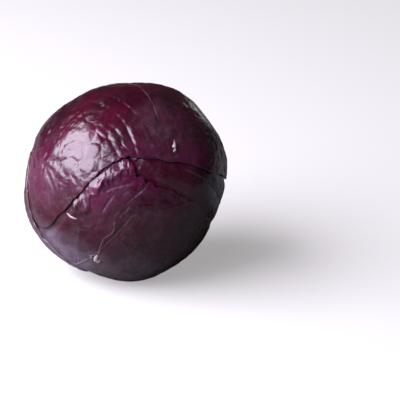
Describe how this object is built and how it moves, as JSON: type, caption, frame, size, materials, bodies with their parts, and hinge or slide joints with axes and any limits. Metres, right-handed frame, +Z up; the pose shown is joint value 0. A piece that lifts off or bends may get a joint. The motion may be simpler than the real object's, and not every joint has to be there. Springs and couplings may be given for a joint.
{
  "type": "cabbage head",
  "caption": "Whole round red cabbage head lying on its side on a small flat, with overlapping veined wrapper leaves, inner leaves, a tight heart and a cut stem.",
  "frame": {"origin": "middle of the bottom of the head's box, on the surface that it rests on", "axes": "+Z up, -Z out of the resting spot; the head lies on its side with its crown towards -Y and +X and upwards, and its cut stem towards +Y and -X and downwards"},
  "size_m": [0.1624, 0.1574, 0.1553],
  "materials": {
    "outer_leaf": "satin waxy leaf, dark wine purple with paler raised veins and a grey-lilac bloom",
    "inner_leaf": "satin, violet purple leaf with pale ribs",
    "stem_flesh": "matt, moist cream-white cut stem"
  },
  "bodies": {
    "root": {"trimmed_outer_leaf": "outer_leaf", "left_wrapper_leaf": "outer_leaf", "lower_wrapper_leaf": "outer_leaf", "right_wrapper_leaf": "outer_leaf", "under_wrapper_leaf": "outer_leaf", "upper_wrapper_leaf": "outer_leaf", "side_wrapper_leaf": "outer_leaf", "inner_leaf_1": "inner_leaf", "inner_leaf_2": "inner_leaf", "inner_leaf_3": "inner_leaf", "inner_leaf_4": "inner_leaf", "inner_leaf_5": "inner_leaf", "heart_leaves": "inner_leaf", "stem_core": "stem_flesh"}
  },
  "joints": []
}
